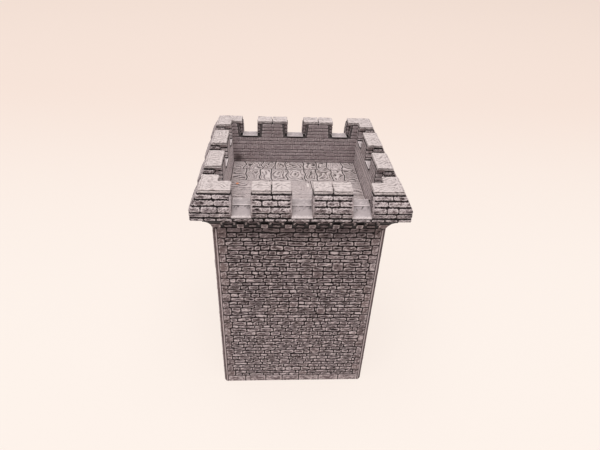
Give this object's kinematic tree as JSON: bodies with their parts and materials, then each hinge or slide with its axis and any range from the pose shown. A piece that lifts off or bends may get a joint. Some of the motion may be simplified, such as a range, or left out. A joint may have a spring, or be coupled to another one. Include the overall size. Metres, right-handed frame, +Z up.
{
  "type": "model castle keep",
  "caption": "Square stone-faced model castle keep: coursed rubble walls with quoins, an arched corbel table, a battered crenellated parapet and a paved roof deck to stand figures on",
  "frame": {"origin": "centre of the footprint on the ground", "axes": "+Z up along the tower's axis, -Y towards the front, +X to the right seen from the front"},
  "size_m": [0.106, 0.106, 0.1453],
  "materials": {
    "wall_stone": "matte",
    "quoin_stone": "matte",
    "parapet_stone": "matte",
    "cap_stone": "matte",
    "deck_stone": "matte"
  },
  "bodies": {
    "root": {"roof_deck": "deck_stone", "front_wall": "wall_stone", "front_base_course": "wall_stone", "front_corbel_table": "parapet_stone", "front_string_course": "parapet_stone", "front_crenel_sills": "cap_stone", "front_merlons": "parapet_stone", "front_merlon_caps": "cap_stone", "front_right_quoin": "quoin_stone", "front_right_corner_merlon": "parapet_stone", "front_right_corner_cap": "cap_stone", "right_wall": "wall_stone", "right_base_course": "wall_stone", "right_corbel_table": "parapet_stone", "right_string_course": "parapet_stone", "right_crenel_sills": "cap_stone", "right_merlons": "parapet_stone", "right_merlon_caps": "cap_stone", "back_right_quoin": "quoin_stone", "back_right_corner_merlon": "parapet_stone", "back_right_corner_cap": "cap_stone", "back_wall": "wall_stone", "back_base_course": "wall_stone", "back_corbel_table": "parapet_stone", "back_string_course": "parapet_stone", "back_crenel_sills": "cap_stone", "back_merlons": "parapet_stone", "back_merlon_caps": "cap_stone", "back_left_quoin": "quoin_stone", "back_left_corner_merlon": "parapet_stone", "back_left_corner_cap": "cap_stone", "left_wall": "wall_stone", "left_base_course": "wall_stone", "left_corbel_table": "parapet_stone", "left_string_course": "parapet_stone", "left_crenel_sills": "cap_stone", "left_merlons": "parapet_stone", "left_merlon_caps": "cap_stone", "front_left_quoin": "quoin_stone", "front_left_corner_merlon": "parapet_stone", "front_left_corner_cap": "cap_stone"}
  },
  "joints": []
}
